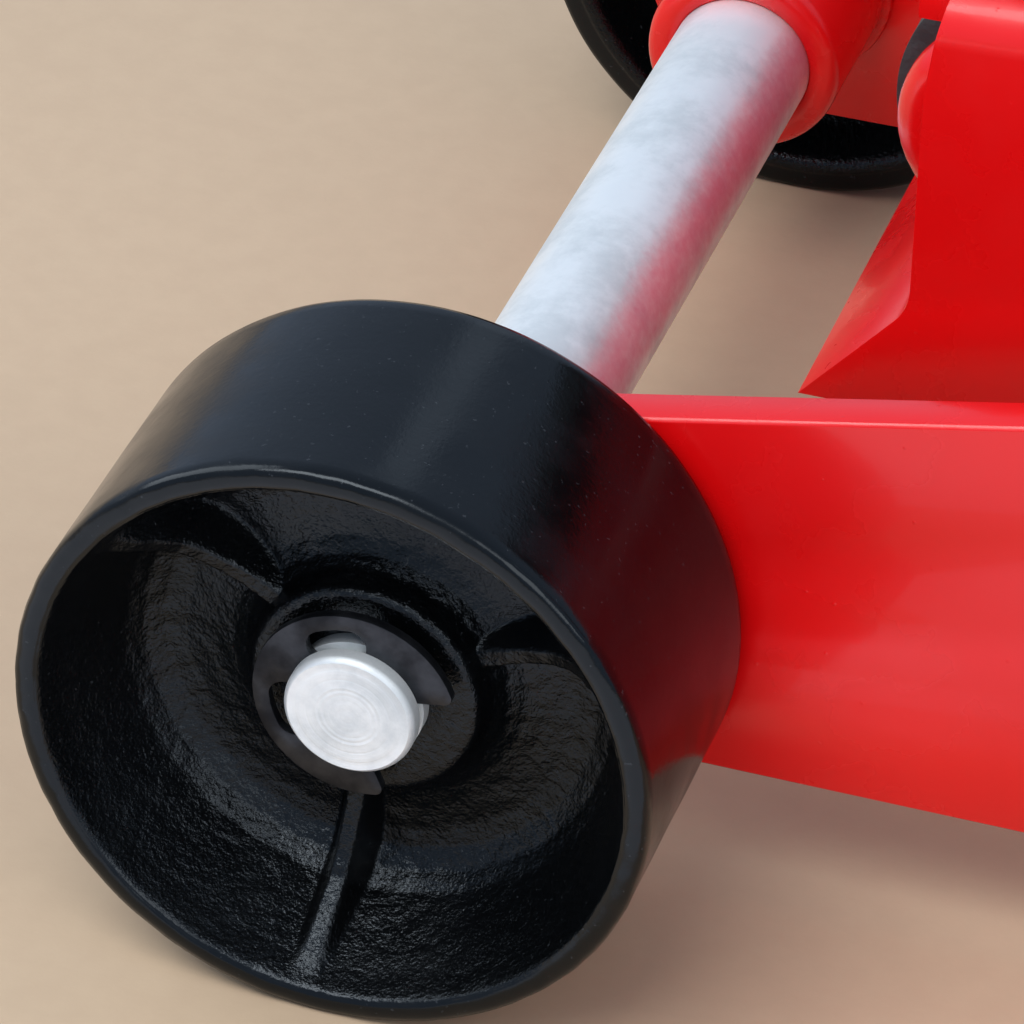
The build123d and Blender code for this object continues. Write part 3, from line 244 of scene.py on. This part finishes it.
def turned_steel(name, light=(0.62, 0.62, 0.63), rough=(0.18, 0.34)):
    """Ground or turned bare steel with an oily, uneven shine."""
    made, tree, shader, where = material(name)
    smear = grain(tree, where, 120.0, 4.0)
    lines = grain(tree, stretched(tree, where, (1500.0, 60.0, 60.0)), 1.0, 2.0)
    dark = [c * 0.7 for c in light]
    colour = blend_colour(tree, step(tree, smear, 0.3, 0.7), (*dark, 1), (*light, 1))
    normal = bumps(tree, [(lines, 0.08, 0.0001)])
    dull = step(tree, smear, 0.3, 0.7, *rough)
    dress(tree, shader, Base_Color=colour, Roughness=dull, Metallic=1.0, Normal=normal)
    return made


def black_oxide(name):
    """Phosphated spring steel: dark, dry, with a faint blue cast and rubbed patches."""
    made, tree, shader, where = material(name)
    rub = grain(tree, where, 170.0, 4.0)
    worn = step(tree, rub, 0.35, 0.75)
    colour = blend_colour(tree, worn, (0.010, 0.011, 0.014, 1), (0.045, 0.048, 0.055, 1))
    normal = bumps(tree, [(grain(tree, where, 1300.0, 2.0), 0.12, 0.0002)])
    dull = step(tree, rub, 0.3, 0.7, 0.42, 0.28)
    dress(tree, shader, Base_Color=colour, Roughness=dull, Metallic=0.75, Normal=normal)
    return made


def casting(name):
    """Dark painted sand casting: gritty skin with rubbed high spots."""
    made, tree, shader, where = material(name)
    grit = grain(tree, where, 520.0, 4.0, 0.6)
    cloud = grain(tree, where, 60.0, 3.0)
    rubbed = step(tree, cloud, 0.3, 0.7)
    colour = blend_colour(tree, rubbed, (0.035, 0.036, 0.038, 1), (0.085, 0.086, 0.088, 1))
    normal = bumps(tree, [(cloud, 0.2, 0.002), (grit, 0.45, 0.0006)])
    dull = step(tree, grit, 0.3, 0.7, 0.38, 0.6)
    dress(tree, shader, Base_Color=colour, Roughness=dull, Metallic=0.25, Normal=normal)
    return made


def moulded(name, colour_low, colour_high, rough, pebble):
    """Moulded rubber, foam or nylon with a fine skin texture."""
    made, tree, shader, where = material(name)
    skin = grain(tree, where, pebble, 3.0)
    cloud = grain(tree, where, 35.0, 3.0)
    colour = blend_colour(tree, step(tree, cloud, 0.3, 0.7), (*colour_low, 1), (*colour_high, 1))
    normal = bumps(tree, [(skin, 0.35, 0.0004)])
    dull = step(tree, skin, 0.3, 0.7, rough, rough + 0.12)
    dress(tree, shader, Base_Color=colour, Roughness=dull, Normal=normal, Specular_IOR_Level=0.4)
    return made


RED = enamel("red_enamel", (0.74, 0.002, 0.003), (0.83, 0.004, 0.005))
BLACK = cast_enamel("black_cast_enamel")
ZINC = zinc("zinc_plate")
AXLE_ZINC = zinc("zinc_axle", overspray=True)
STEEL = turned_steel("turned_steel")
OXIDE = black_oxide("black_oxide")
CAST = casting("dark_casting")
RUBBER = moulded("grip_rubber", (0.012, 0.012, 0.013), (0.022, 0.022, 0.023), 0.55, 900.0)
NYLON = moulded("caster_nylon", (0.010, 0.010, 0.011), (0.020, 0.020, 0.021), 0.38, 500.0)
BY_SLOT = {
    "red_paint": RED, "black_enamel": BLACK, "zinc_steel": ZINC, "black_oxide": OXIDE,
    "bright_steel": STEEL, "grey_casting": CAST, "caster_tread": NYLON, "rubber": RUBBER,
}
SLOT_OF = {s["node"]: s["material_slot"] for s in frame["record"]["subparts"]}
BODY_OF = {n: b for b, ns in frame["record"]["behaviour"]["bodies"].items() for n in ns}


# ---------------------------------------------------------------- mesh helpers
def piece(name, verts, faces, node_or_body, finish, replaces=(), sharp=35):
    """A new mesh piece that rides on a body and may stand for CAD nodes."""
    mesh = bpy.data.meshes.new(name)
    mesh.from_pydata([tuple(v) for v in verts], [], faces)
    mesh.validate()
    return settle(bpy.data.objects.new(name, mesh), node_or_body, finish, replaces, sharp)


def settle(made, node_or_body, finish, replaces=(), sharp=35):
    """Link a mesh object into the scene: outward faces, shading, material, body and slot."""
    mesh = made.data
    bm = bmesh.new()
    bm.from_mesh(mesh)
    bmesh.ops.recalc_face_normals(bm, faces=bm.faces)
    for edge in bm.edges:
        edge.smooth = not edge.is_manifold or edge.calc_face_angle(0) < radians(sharp)
    for face in bm.faces:
        face.smooth = True
    bm.to_mesh(mesh)
    bm.free()
    bpy.context.scene.collection.objects.link(made)
    mesh.materials.clear()
    mesh.materials.append(finish)
    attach(made, BODY_OF.get(node_or_body, node_or_body))
    if replaces:
        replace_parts(made, *replaces)
    return made


def cleaned(node):
    """A CAD node's mesh with its split corners welded."""
    bm = bmesh.new()
    bm.from_mesh(frame["nodes"][node].data)
    bmesh.ops.remove_doubles(bm, verts=bm.verts, dist=1e-6)
    mesh = bpy.data.meshes.new(node + "_clean")
    bm.to_mesh(mesh)
    bm.free()
    return mesh


def fused(nodes):
    """One mesh from CAD nodes that are welded together."""
    parts = [bpy.data.objects.new(n + "_part", cleaned(n)) for n in nodes]
    for part in parts:
        bpy.context.scene.collection.objects.link(part)
    for other in parts[1:]:
        union = parts[0].modifiers.new("union", "BOOLEAN")
        union.operation, union.solver, union.object = "UNION", "EXACT", other
    bpy.context.view_layer.update()
    evaluated = parts[0].evaluated_get(bpy.context.evaluated_depsgraph_get())
    mesh = bpy.data.meshes.new_from_object(evaluated)
    for part in parts:
        bpy.data.objects.remove(part)
    return mesh


def soften(nodes, width, finish=None, segments=2, sharp=28):
    """A copy of one or more CAD nodes with the hard edges rounded over by width."""
    nodes = [nodes] if isinstance(nodes, str) else nodes
    bm = bmesh.new()
    bm.from_mesh(fused(nodes) if len(nodes) > 1 else cleaned(nodes[0]))
    bmesh.ops.remove_doubles(bm, verts=bm.verts, dist=1e-6)
    bmesh.ops.dissolve_limit(bm, angle_limit=radians(0.3), verts=bm.verts, edges=bm.edges)
    hard = [e for e in bm.edges if e.is_manifold and e.calc_face_angle(0) > radians(sharp)]
    bmesh.ops.bevel(
        bm, geom=hard, offset=width, offset_type="OFFSET", segments=segments, profile=0.5,
        affect="EDGES", clamp_overlap=True,
    )
    bmesh.ops.triangulate(bm, faces=[f for f in bm.faces if len(f.verts) > 4])
    mesh = bpy.data.meshes.new(nodes[0] + "_finished")
    bm.to_mesh(mesh)
    bm.free()
    made = bpy.data.objects.new(nodes[0] + "_finished", mesh)
    return settle(made, nodes[0], finish or BY_SLOT[SLOT_OF[nodes[0]]], nodes)


def grid_faces(rows, columns, close_rows=False, close_columns=True):
    """Quads over rows x columns of vertices, closed round either way."""
    faces = []
    for i in range(rows if close_rows else rows - 1):
        for j in range(columns if close_columns else columns - 1):
            a, b = i, (i + 1) % rows
            c, d = j, (j + 1) % columns
            faces.append((a * columns + c, a * columns + d, b * columns + d, b * columns + c))
    return faces


def resample(points, spacing):
    """Points along a polyline about one spacing apart, corners kept."""
    result = []
    for start, end in zip(points, points[1:]):
        start, end = Vector(start), Vector(end)
        count = max(1, round((end - start).length / spacing))
        result += [start.lerp(end, i / count) for i in range(count)]
    return result + [Vector(points[-1])]


def lathe(profile, centre, turns=96):
    """Vertices and faces of a closed (radius, y) profile turned round the Y line through centre."""
    verts = []
    for radius, y in profile:
        for k in range(turns):
            a = tau * k / turns
            verts.append((centre.x + radius * cos(a), y, centre.z + radius * sin(a)))
    return verts, grid_faces(len(profile), turns, close_rows=True)


def tube(path, radius, sides=12):
    """Vertices and faces of a round wire along a path of points, with closed ends."""
    verts, faces = [], []
    up = Vector((0.3, 0.2, 0.93)).normalized()
    for i, point in enumerate(path):
        ahead = (path[min(i + 1, len(path) - 1)] - path[max(i - 1, 0)]).normalized()
        side = ahead.cross(up).normalized()
        up = side.cross(ahead).normalized()
        for k in range(sides):
            a = tau * k / sides
            verts.append(point + side * (radius * cos(a)) + up * (radius * sin(a)))
    faces = grid_faces(len(path), sides)
    faces.append(tuple(range(sides))[::-1])
    faces.append(tuple(range(len(verts) - sides, len(verts))))
    return verts, faces


# ---------------------------------------------------------------- front wheels
ROUND = 128                         # sides of the axle and its collars
RIB_ANGLES = (264.5, 144.5, 24.5)
BOWL = [                            # radius, depth from the outer face, millimetres
    (44.0, 1.3), (43.6, 0.4), (42.7, 0.0), (41.4, 0.0), (40.7, 0.4), (40.3, 1.3), (39.3, 5.0),
    (37.6, 10.0), (36.2, 14.0), (34.9, 17.4), (33.0, 20.0), (30.4, 21.7), (27.5, 22.2), (23.5, 22.0),
    (20.6, 21.4), (18.4, 20.2), (17.0, 18.6), (16.3, 16.6), (16.0, 15.5), (15.5, 14.9), (14.8, 14.8),
    (9.26, 14.8),
]
BACK = [
    (9.26, 42.8), (16.5, 42.8), (17.4, 42.0), (18.4, 33.0), (20.5, 30.6), (31.5, 29.8), (34.2, 31.0),
    (36.0, 34.0), (38.3, 42.2), (39.0, 42.8), (43.0, 42.8), (43.7, 42.5), (44.0, 41.6),
]
RIB_ROOT, RIB_END = 16, 5           # corners of BOWL between which a rib stands
CROWN = [                           # top of a rib, from the rim to the hub
    (40.0, 2.6), (38.4, 5.0), (36.0, 7.5), (34.0, 10.2), (31.0, 13.2), (28.0, 15.0), (24.0, 16.5),
    (20.0, 17.4), (16.6, 17.7),
]
WHEEL_TURNS = 640
SPACING = {"bowl": 0.55, "back": 1.2, "tread": 1.6}     # between rows of vertices, millimetres
WHEEL_FACE_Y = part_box("front_wheel_right")[1].y / MM


def cast_noise(x, y, z, scale):
    return noise.noise(Vector((x, y, z)) * scale)


def roughness(x, t, z, in_bowl, on_tread):
    """How far the cast skin lies in from its true shape here, rougher deep in the bowl."""
    if in_bowl:
        depth = min(max((t - 2.0) / 12.0, 0.0), 1.0)
        rough = (0.05 + 0.10 * depth) * cast_noise(x, t, z, 0.4)
        rough += (0.01 + 0.05 * depth) * cast_noise(x, t + 50, z, 1.3)
        if t < 3:
            rough += 0.10 * cast_noise(x, t + 90, z, 0.25)
        return rough
    return 0.05 * cast_noise(x, t, z, 0.12) if on_tread else 0.0


def part_way(path, share):
    """The point this share of the way along a polyline."""
    spans = [(Vector(b) - Vector(a)).length for a, b in zip(path, path[1:])]
    left = share * sum(spans)
    for (a, b), span in zip(zip(path, path[1:]), spans):
        if left <= span:
            return Vector(a).lerp(Vector(b), left / span)
        left -= span
    return Vector(path[-1])


def wheel_mesh(sign):
    """The wheel as one lathed skin, with ribs raised out of the bowl and a sand-cast surface."""
    bowl = resample([(r, t, 0) for r, t in BOWL], SPACING["bowl"])
    back = resample([(r, t, 0) for r, t in BACK], SPACING["back"])
    tread = resample([(*BACK[-1], 0), (*BOWL[0], 0)], SPACING["tread"])[1:-1]
    loop = bowl + back + tread
    lengths = [0.0]
    for a, b in zip(BOWL, BOWL[1:]):
        lengths.append(lengths[-1] + (Vector(b) - Vector(a)).length)
    start, end = lengths[RIB_END], lengths[RIB_ROOT]
    travelled, verts = 0.0, []
    for i, point in enumerate(loop):
        if 0 < i < len(bowl):
            travelled += (point - loop[i - 1]).length
        before, after = loop[i - 1], loop[(i + 1) % len(loop)]
        along = (after - before).normalized()
        out = Vector((-along.y, along.x, 0))
        in_bowl = i < len(bowl) and point.x > 10
        share = min(max((travelled - start) / (end - start), 0.0), 1.0) if in_bowl else 0.0
        ridge_r, ridge_t = part_way(CROWN, share)
        for k in range(WHEEL_TURNS):
            a = tau * k / WHEEL_TURNS
            r, t = point.x, point.y
            if 0 < share < 1:
                rib = max(rib_weight(a, r, angle, share) for angle in RIB_ANGLES)
                r += (ridge_r - r) * rib
                t += (ridge_t - t) * rib
            rough = roughness(r * cos(a), t, r * sin(a), in_bowl, point.x > 43)
            r2, t2 = r - out.x * rough, t - out.y * rough
            y = sign * (WHEEL_FACE_Y - t2)
            verts.append((AXLE.x + r2 * cos(a) * MM, y * MM, AXLE.z + r2 * sin(a) * MM))
    return verts, grid_faces(len(loop), WHEEL_TURNS, close_rows=True)


def rib_weight(a, r, angle, share):
    """How far a point of the bowl is drawn out into the rib at this angle: 1 on its crown."""
    off = abs(((a - radians(angle) + pi) % tau) - pi) * r
    crown, foot = 1.0, 2.5 + 1.0 * sin(pi * share)
    if off >= foot:
        return 0.0
    u = min(max((off - crown) / (foot - crown), 0.0), 1.0)
    return 1 - u * u * (3 - 2 * u)


for side, sign in SIDES.items():
    node = f"front_wheel_{side}"
    verts, faces = wheel_mesh(sign)
    piece(f"{node}_casting", verts, faces, node, BLACK, [node], sharp=70)

# ---------------------------------------------------------------- axle, clips, collars
def axle_half():
    """(radius, y) of half the axle, from the middle out, in millimetres."""
    groove_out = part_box("axle_clips")[1].y / MM
    groove_in = groove_out - 1.5
    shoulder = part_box("axle_collars")[1].y / MM
    end = AXLE_END_Y / MM
    half = [
        (BAR_R, 0.0), (BAR_R, shoulder), (END_R, shoulder), (END_R, groove_in),
        (GROOVE_R, groove_in), (GROOVE_R, groove_out), (END_R, groove_out), (END_R, end - 0.95),
        (9.1, end - 0.6), (8.7, end - 0.12), (8.5, end),
    ]
    rings = []
    for i in range(80):
        r = 8.4 - 0.1 * i
        groove = noise.noise(Vector((r * 2.3, 0.5, 7.1)))
        groove += 0.5 * noise.noise(Vector((r * 6.1, 3.5, 1.1)))
        rings.append((r, end - 0.06 - 0.045 * groove))
    return half + rings


half = axle_half()
profile = [(r * MM, -y * MM) for r, y in reversed(half)] + [(r * MM, y * MM) for r, y in half[1:]]
verts, faces = lathe(profile, AXLE, ROUND)
faces = faces[:-ROUND]
faces.append(tuple(range(ROUND)))
faces.append(tuple(range(len(verts) - ROUND, len(verts)))[::-1])
piece("front_axle_bar", verts, faces, "front_axle", AXLE_ZINC, ["front_axle"], sharp=25)

soften("axle_clips", 0.28 * MM)
soften("axle_washers", 0.3 * MM)


def weld_ring(name, centre, y, inward, radius, body, bead=2.2):
    """A painted fillet weld round a tube where it meets a plate at y."""
    verts, rows, turns = [], 10, 180
    for k in range(turns):
        a = tau * k / turns
        ripple = 0.16 * sin(a * 46) + 0.35 * noise.noise(Vector((cos(a), sin(a), y * 9)) * 3.0)
        size = bead + ripple
        for i in range(rows):
            b = tau * i / rows
            r = radius + size * 0.45 * cos(b)
            h = size * 0.45 * sin(b)
            x, z = r * MM * cos(a), r * MM * sin(a)
            verts.append((centre.x + x, y + inward * (0.4 + h) * MM, centre.z + z))
    return piece(name, verts, grid_faces(turns, rows, close_rows=True), body, RED)


low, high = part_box("axle_collars")
COLLAR_OUT, COLLAR_R = high.y, (high.z - low.z) / 2 / MM
COLLAR_LENGTH = 28.3
COLLAR_IN = COLLAR_OUT - COLLAR_LENGTH * MM
for side, sign in SIDES.items():
    outline = [
        (BAR_R, 0.4), (BAR_R + 0.4, 0.0), (COLLAR_R - 2.4, 0.0), (COLLAR_R - 1.5, 0.2),
        (COLLAR_R - 0.7, 0.7), (COLLAR_R - 0.2, 1.5), (COLLAR_R, 2.4),
        (COLLAR_R, COLLAR_LENGTH), (BAR_R, COLLAR_LENGTH),
    ]
    profile = [(r * MM, sign * (COLLAR_IN + t * MM)) for r, t in outline]
    verts, faces = lathe(profile, AXLE, ROUND)
    replaced = ["axle_collars"] if side == "left" else []
    piece(f"axle_collar_{side}", verts, faces, "frame", RED, replaced, sharp=60)
    weld_ring(f"axle_collar_weld_{side}", AXLE, sign * COLLAR_OUT, -sign, COLLAR_R + 0.3, "frame")

# ---------------------------------------------------------------- springs
def hooked_coil(front, rear, radius, wire, turns):
    """An extension spring between two points along X, with a hook turned out of each end."""
    steps = 22
    length = rear - front
    hook = radius * 1.1
    body = length - Vector((2 * hook, 0, 0))
    tip, bend = Vector((hook * 0.2, 0, -radius * 0.5)), Vector((hook * 0.3, 0, radius * 0.6))
    points = [front + tip, front, front + bend]
    for i in range(turns * steps + 1):
        a = tau * i / steps + pi / 2
        x = front.x + hook + body.x * i / (turns * steps)
        points.append(Vector((x, front.y + radius * cos(a), front.z + radius * sin(a))))
    points += [rear - Vector((bend.x, 0, -bend.z)), rear, rear - Vector((tip.x, 0, -tip.z))]
    return tube(points, wire, 10)


def spring_piece(name, verts, faces, replaced=None):
    """A wire spring that runs from the frame, at its start, to a moving body, at its end; it is
    baked in place and not attached to either.
    """
    mesh = bpy.data.meshes.new(name)
    mesh.from_pydata([tuple(v) for v in verts], [], faces)
    for polygon in mesh.polygons:
        polygon.use_smooth = True
    mesh.materials.append(OXIDE)
    spring = bpy.data.objects.new(name, mesh)
    bpy.context.scene.collection.objects.link(spring)
    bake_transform(spring)
    if replaced:
        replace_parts(spring, replaced)


WIRE_R = 0.85 * MM


low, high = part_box("return_springs")
for side, sign in SIDES.items():
    y = sign * (high.y - 6 * MM)
    front = Vector((low.x - 2 * MM, y, (low.z + high.z) / 2))
    rear = Vector((high.x + 2 * MM, y, (low.z + high.z) / 2))
    verts, faces = hooked_coil(front, rear, 4.9 * MM, WIRE_R, 17)
    replaced = "return_springs" if side == "left" else None
    spring_piece(f"return_spring_{side}", verts, faces, replaced)

low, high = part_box("plunger_spring")
centre = (low + high) / 2
COILS, COIL_STEPS, COIL_R = 7, 24, 7.9 * MM
points = []
for i in range(COILS * COIL_STEPS + 1):
    a = tau * i / COIL_STEPS
    x = high.x + (low.x - high.x) * i / (COILS * COIL_STEPS)
    x = min(max(x, low.x + 0.9 * MM), high.x - 0.9 * MM)
    points.append(Vector((x, centre.y + COIL_R * cos(a), centre.z + COIL_R * sin(a))))
verts, faces = tube(points, WIRE_R, 10)
spring_piece(
    "plunger_return_spring", verts, faces,
    "plunger_spring",
)

# ---------------------------------------------------------------- the rest, with rounded edges
EDGE = {                            # widths of rounded edges, millimetres, where not DEFAULT_EDGE
    "side_plate_left": 0.35, "side_plate_right": 0.35,
    "arm_bushes": 1.2, "saddle_carrier": 1.6, "saddle": 0.8, "pump_block": 1.0, "handle_yoke": 1.0,
    "yoke_brackets": 0.8, "caster_brackets": 0.8, "link_bars": 0.5, "ram_crossbar": 0.6,
}
DEFAULT_EDGE = 0.4
HIDDEN = ("piston_seal", "ram_piston")      # inside the ram cylinder: kept as they are
soften(["arm_channel", "arm_nose_plate"], 0.7 * MM)
done = {n for o in bpy.data.objects for n in o.get("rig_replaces", [])}
for node in sorted(frame["nodes"]):
    if node in HIDDEN:
        frame["nodes"][node].data.materials.clear()
        frame["nodes"][node].data.materials.append(BY_SLOT[SLOT_OF[node]])
    elif node not in done:
        soften(node, EDGE.get(node, DEFAULT_EDGE) * MM)

# ---------------------------------------------------------------- floor, light, camera
def floor_material():
    made, tree, shader, where = material("pale_floor")
    cloud = grain(tree, where, 1.6, 4.0)
    fine = grain(tree, where, 160.0, 4.0, 0.6)
    pale = step(tree, cloud, 0.3, 0.7)
    colour = blend_colour(tree, pale, (0.53, 0.39, 0.255, 1), (0.59, 0.43, 0.285, 1))
    specks = step(tree, fine, 0.3, 0.7, 0.0, 0.18)
    mixed = blend_colour(tree, specks, colour, (0.46, 0.32, 0.21, 1))
    dull = step(tree, cloud, 0.3, 0.7, 0.6, 0.7)
    normal = bumps(tree, [(fine, 0.1, 0.001)])
    dress(tree, shader, Base_Color=mixed, Roughness=dull, Normal=normal)
    return made


FLOOR_HALF = 30.0
mesh = bpy.data.meshes.new("floor")
mesh.from_pydata([(-FLOOR_HALF, -FLOOR_HALF, 0), (FLOOR_HALF, -FLOOR_HALF, 0),
                  (FLOOR_HALF, FLOOR_HALF, 0), (-FLOOR_HALF, FLOOR_HALF, 0)], [], [(0, 1, 2, 3)])
floor = bpy.data.objects.new("floor", mesh)
floor.data.materials.append(floor_material())
bpy.context.scene.collection.objects.link(floor)


def softbox(name, place, size, power, colour=(1, 1, 1), face=None):
    """A rectangular area light, facing the front wheel or along face."""
    data = bpy.data.lights.new(name, "AREA")
    data.shape, data.size, data.size_y = "RECTANGLE", *size
    data.energy, data.color = power, colour
    light = bpy.data.objects.new(name, data)
    light.location = place
    aim = Vector(face) if face else AXLE - Vector(place)
    light.rotation_euler = aim.to_track_quat("-Z", "Y").to_euler()
    light.visible_camera = False
    bpy.context.scene.collection.objects.link(light)


softbox("key_softbox", AXLE + Vector((-0.45, -0.95, 1.75)), (1.5, 0.9), 26)
softbox("front_fill", AXLE + Vector((-1.9, 0.1, 1.5)), (1.6, 1.6), 18, (0.95, 0.98, 1.0))
softbox("right_fill", AXLE + Vector((1.5, -1.4, 1.3)), (1.4, 1.4), 15, (1.0, 0.98, 0.95))
softbox("back_strip", AXLE + Vector((-0.10, 1.75, 1.35)), (0.35, 1.2), 0.5, (0.80, 0.90, 1.0))
softbox(
    "bounce_card", (AXLE.x + 0.15, -0.56, 0.003), (1.4, 0.78), 2.4, (0.50, 0.69, 1.0),
    face=(0, 0, 1),
)

world = bpy.data.worlds.new("studio")
world.use_nodes = True
background = world.node_tree.nodes["Background"].inputs
background["Color"].default_value = (0.60, 0.75, 1.0, 1)
background["Strength"].default_value = 0.62
bpy.context.scene.world = world
bpy.context.scene.view_settings.view_transform = "Standard"

# The camera looks down over the near front wheel, as close as someone crouching beside it.
AZIMUTH, ELEVATION, ROLL = 17.81, 35.06, 1.35      # degrees
DISTANCE = 0.7944                                  # metres from the target
LENS, SENSOR = 208.4, 36.0                         # millimetres
TARGET = AXLE + Vector((11.1, -90.6, 13.2)) * MM


def make_camera():
    a, e, roll = radians(AZIMUTH), radians(ELEVATION), radians(ROLL)
    back = Vector((sin(a) * cos(e), -cos(a) * cos(e), sin(e)))
    data = bpy.data.cameras.new("camera")
    data.lens, data.sensor_width = LENS, SENSOR
    data.clip_start, data.clip_end = 0.01, 100.0
    camera = bpy.data.objects.new("camera", data)
    turn = (-back).to_track_quat("-Z", "Y").to_matrix() @ Matrix.Rotation(roll, 3, "Z")
    camera.matrix_world = Matrix.Translation(TARGET + back * DISTANCE) @ turn.to_4x4()
    bpy.context.scene.collection.objects.link(camera)
    bpy.context.scene.camera = camera


make_camera()
